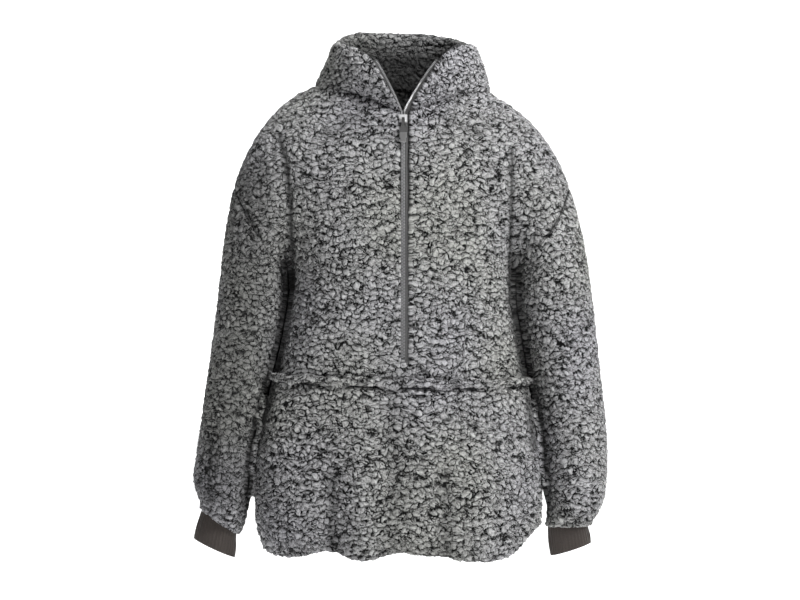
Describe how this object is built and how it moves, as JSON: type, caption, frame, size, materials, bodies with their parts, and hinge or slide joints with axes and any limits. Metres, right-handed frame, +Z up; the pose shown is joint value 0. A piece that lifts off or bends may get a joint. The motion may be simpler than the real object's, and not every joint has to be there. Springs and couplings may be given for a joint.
{
  "type": "half-zip sherpa fleece pullover",
  "caption": "Oversized sherpa fleece pullover with a stand collar, half zip, dropped shoulders, wide pouch pocket and ribbed cuffs, filled out as worn.",
  "frame": {"origin": "middle of the neck opening, level with the sides of the neck seam, where the wearer's neck holds the garment", "axes": "+Z up, the front faces -Y, +X towards the right of the picture"},
  "size_m": [0.6811, 0.3103, 0.8738],
  "materials": {
    "sherpa_fleece": "curly grey pile",
    "rib_knit": "brown-grey rib",
    "zip_tape": "woven",
    "zip_metal": "polished"
  },
  "bodies": {
    "garment": {"front": "sherpa_fleece", "back": "sherpa_fleece", "sleeve_left": "sherpa_fleece", "sleeve_right": "sherpa_fleece", "collar": "sherpa_fleece", "pocket": "sherpa_fleece", "pocket_band": "sherpa_fleece", "pocket_edge_left": "sherpa_fleece", "pocket_edge_right": "sherpa_fleece", "cuff_left": "rib_knit", "cuff_right": "rib_knit", "zip_tape_left": "zip_tape", "zip_tape_right": "zip_tape", "zip_chain_left": "zip_metal", "zip_chain_right": "zip_metal", "zip_slider": "zip_metal", "zip_stop": "zip_metal"},
    "pull": {"zip_pull": "zip_metal"}
  },
  "joints": [
    {"name": "pull_swing", "type": "hinge", "parent": "garment", "child": "pull", "pos_m": [0, -0.11688, -0.05084], "axis": [-1, 0, 0], "range_deg": [-10, 170]}
  ]
}
